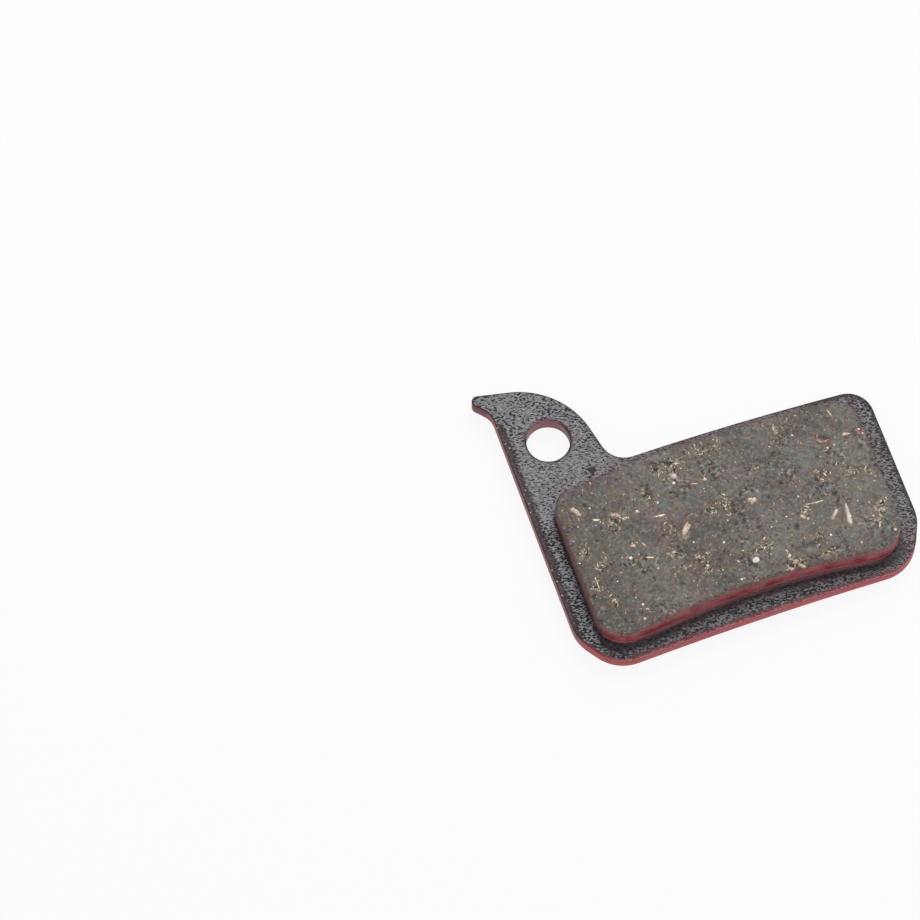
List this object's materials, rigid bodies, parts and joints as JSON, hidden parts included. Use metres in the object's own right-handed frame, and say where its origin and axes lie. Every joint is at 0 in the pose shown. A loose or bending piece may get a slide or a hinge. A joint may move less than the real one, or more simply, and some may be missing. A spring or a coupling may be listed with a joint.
{
  "type": "disc brake pad",
  "caption": "Flat stamped disc brake pad with a hooked tab and a pin hole, carrying a bonded block of semi-metallic friction compound.",
  "frame": {"origin": "centre of the pad-pin hole in the tab, on the plate's back face", "axes": "+X along the pad away from the hook, +Y outwards past the pin, +Z out of the friction face"},
  "size_m": [0.0353, 0.0298, 0.004],
  "materials": {
    "plate_paint": "satin",
    "compound": "matte"
  },
  "bodies": {
    "root": {"backing_plate": "plate_paint", "friction_block": "compound"}
  },
  "joints": []
}
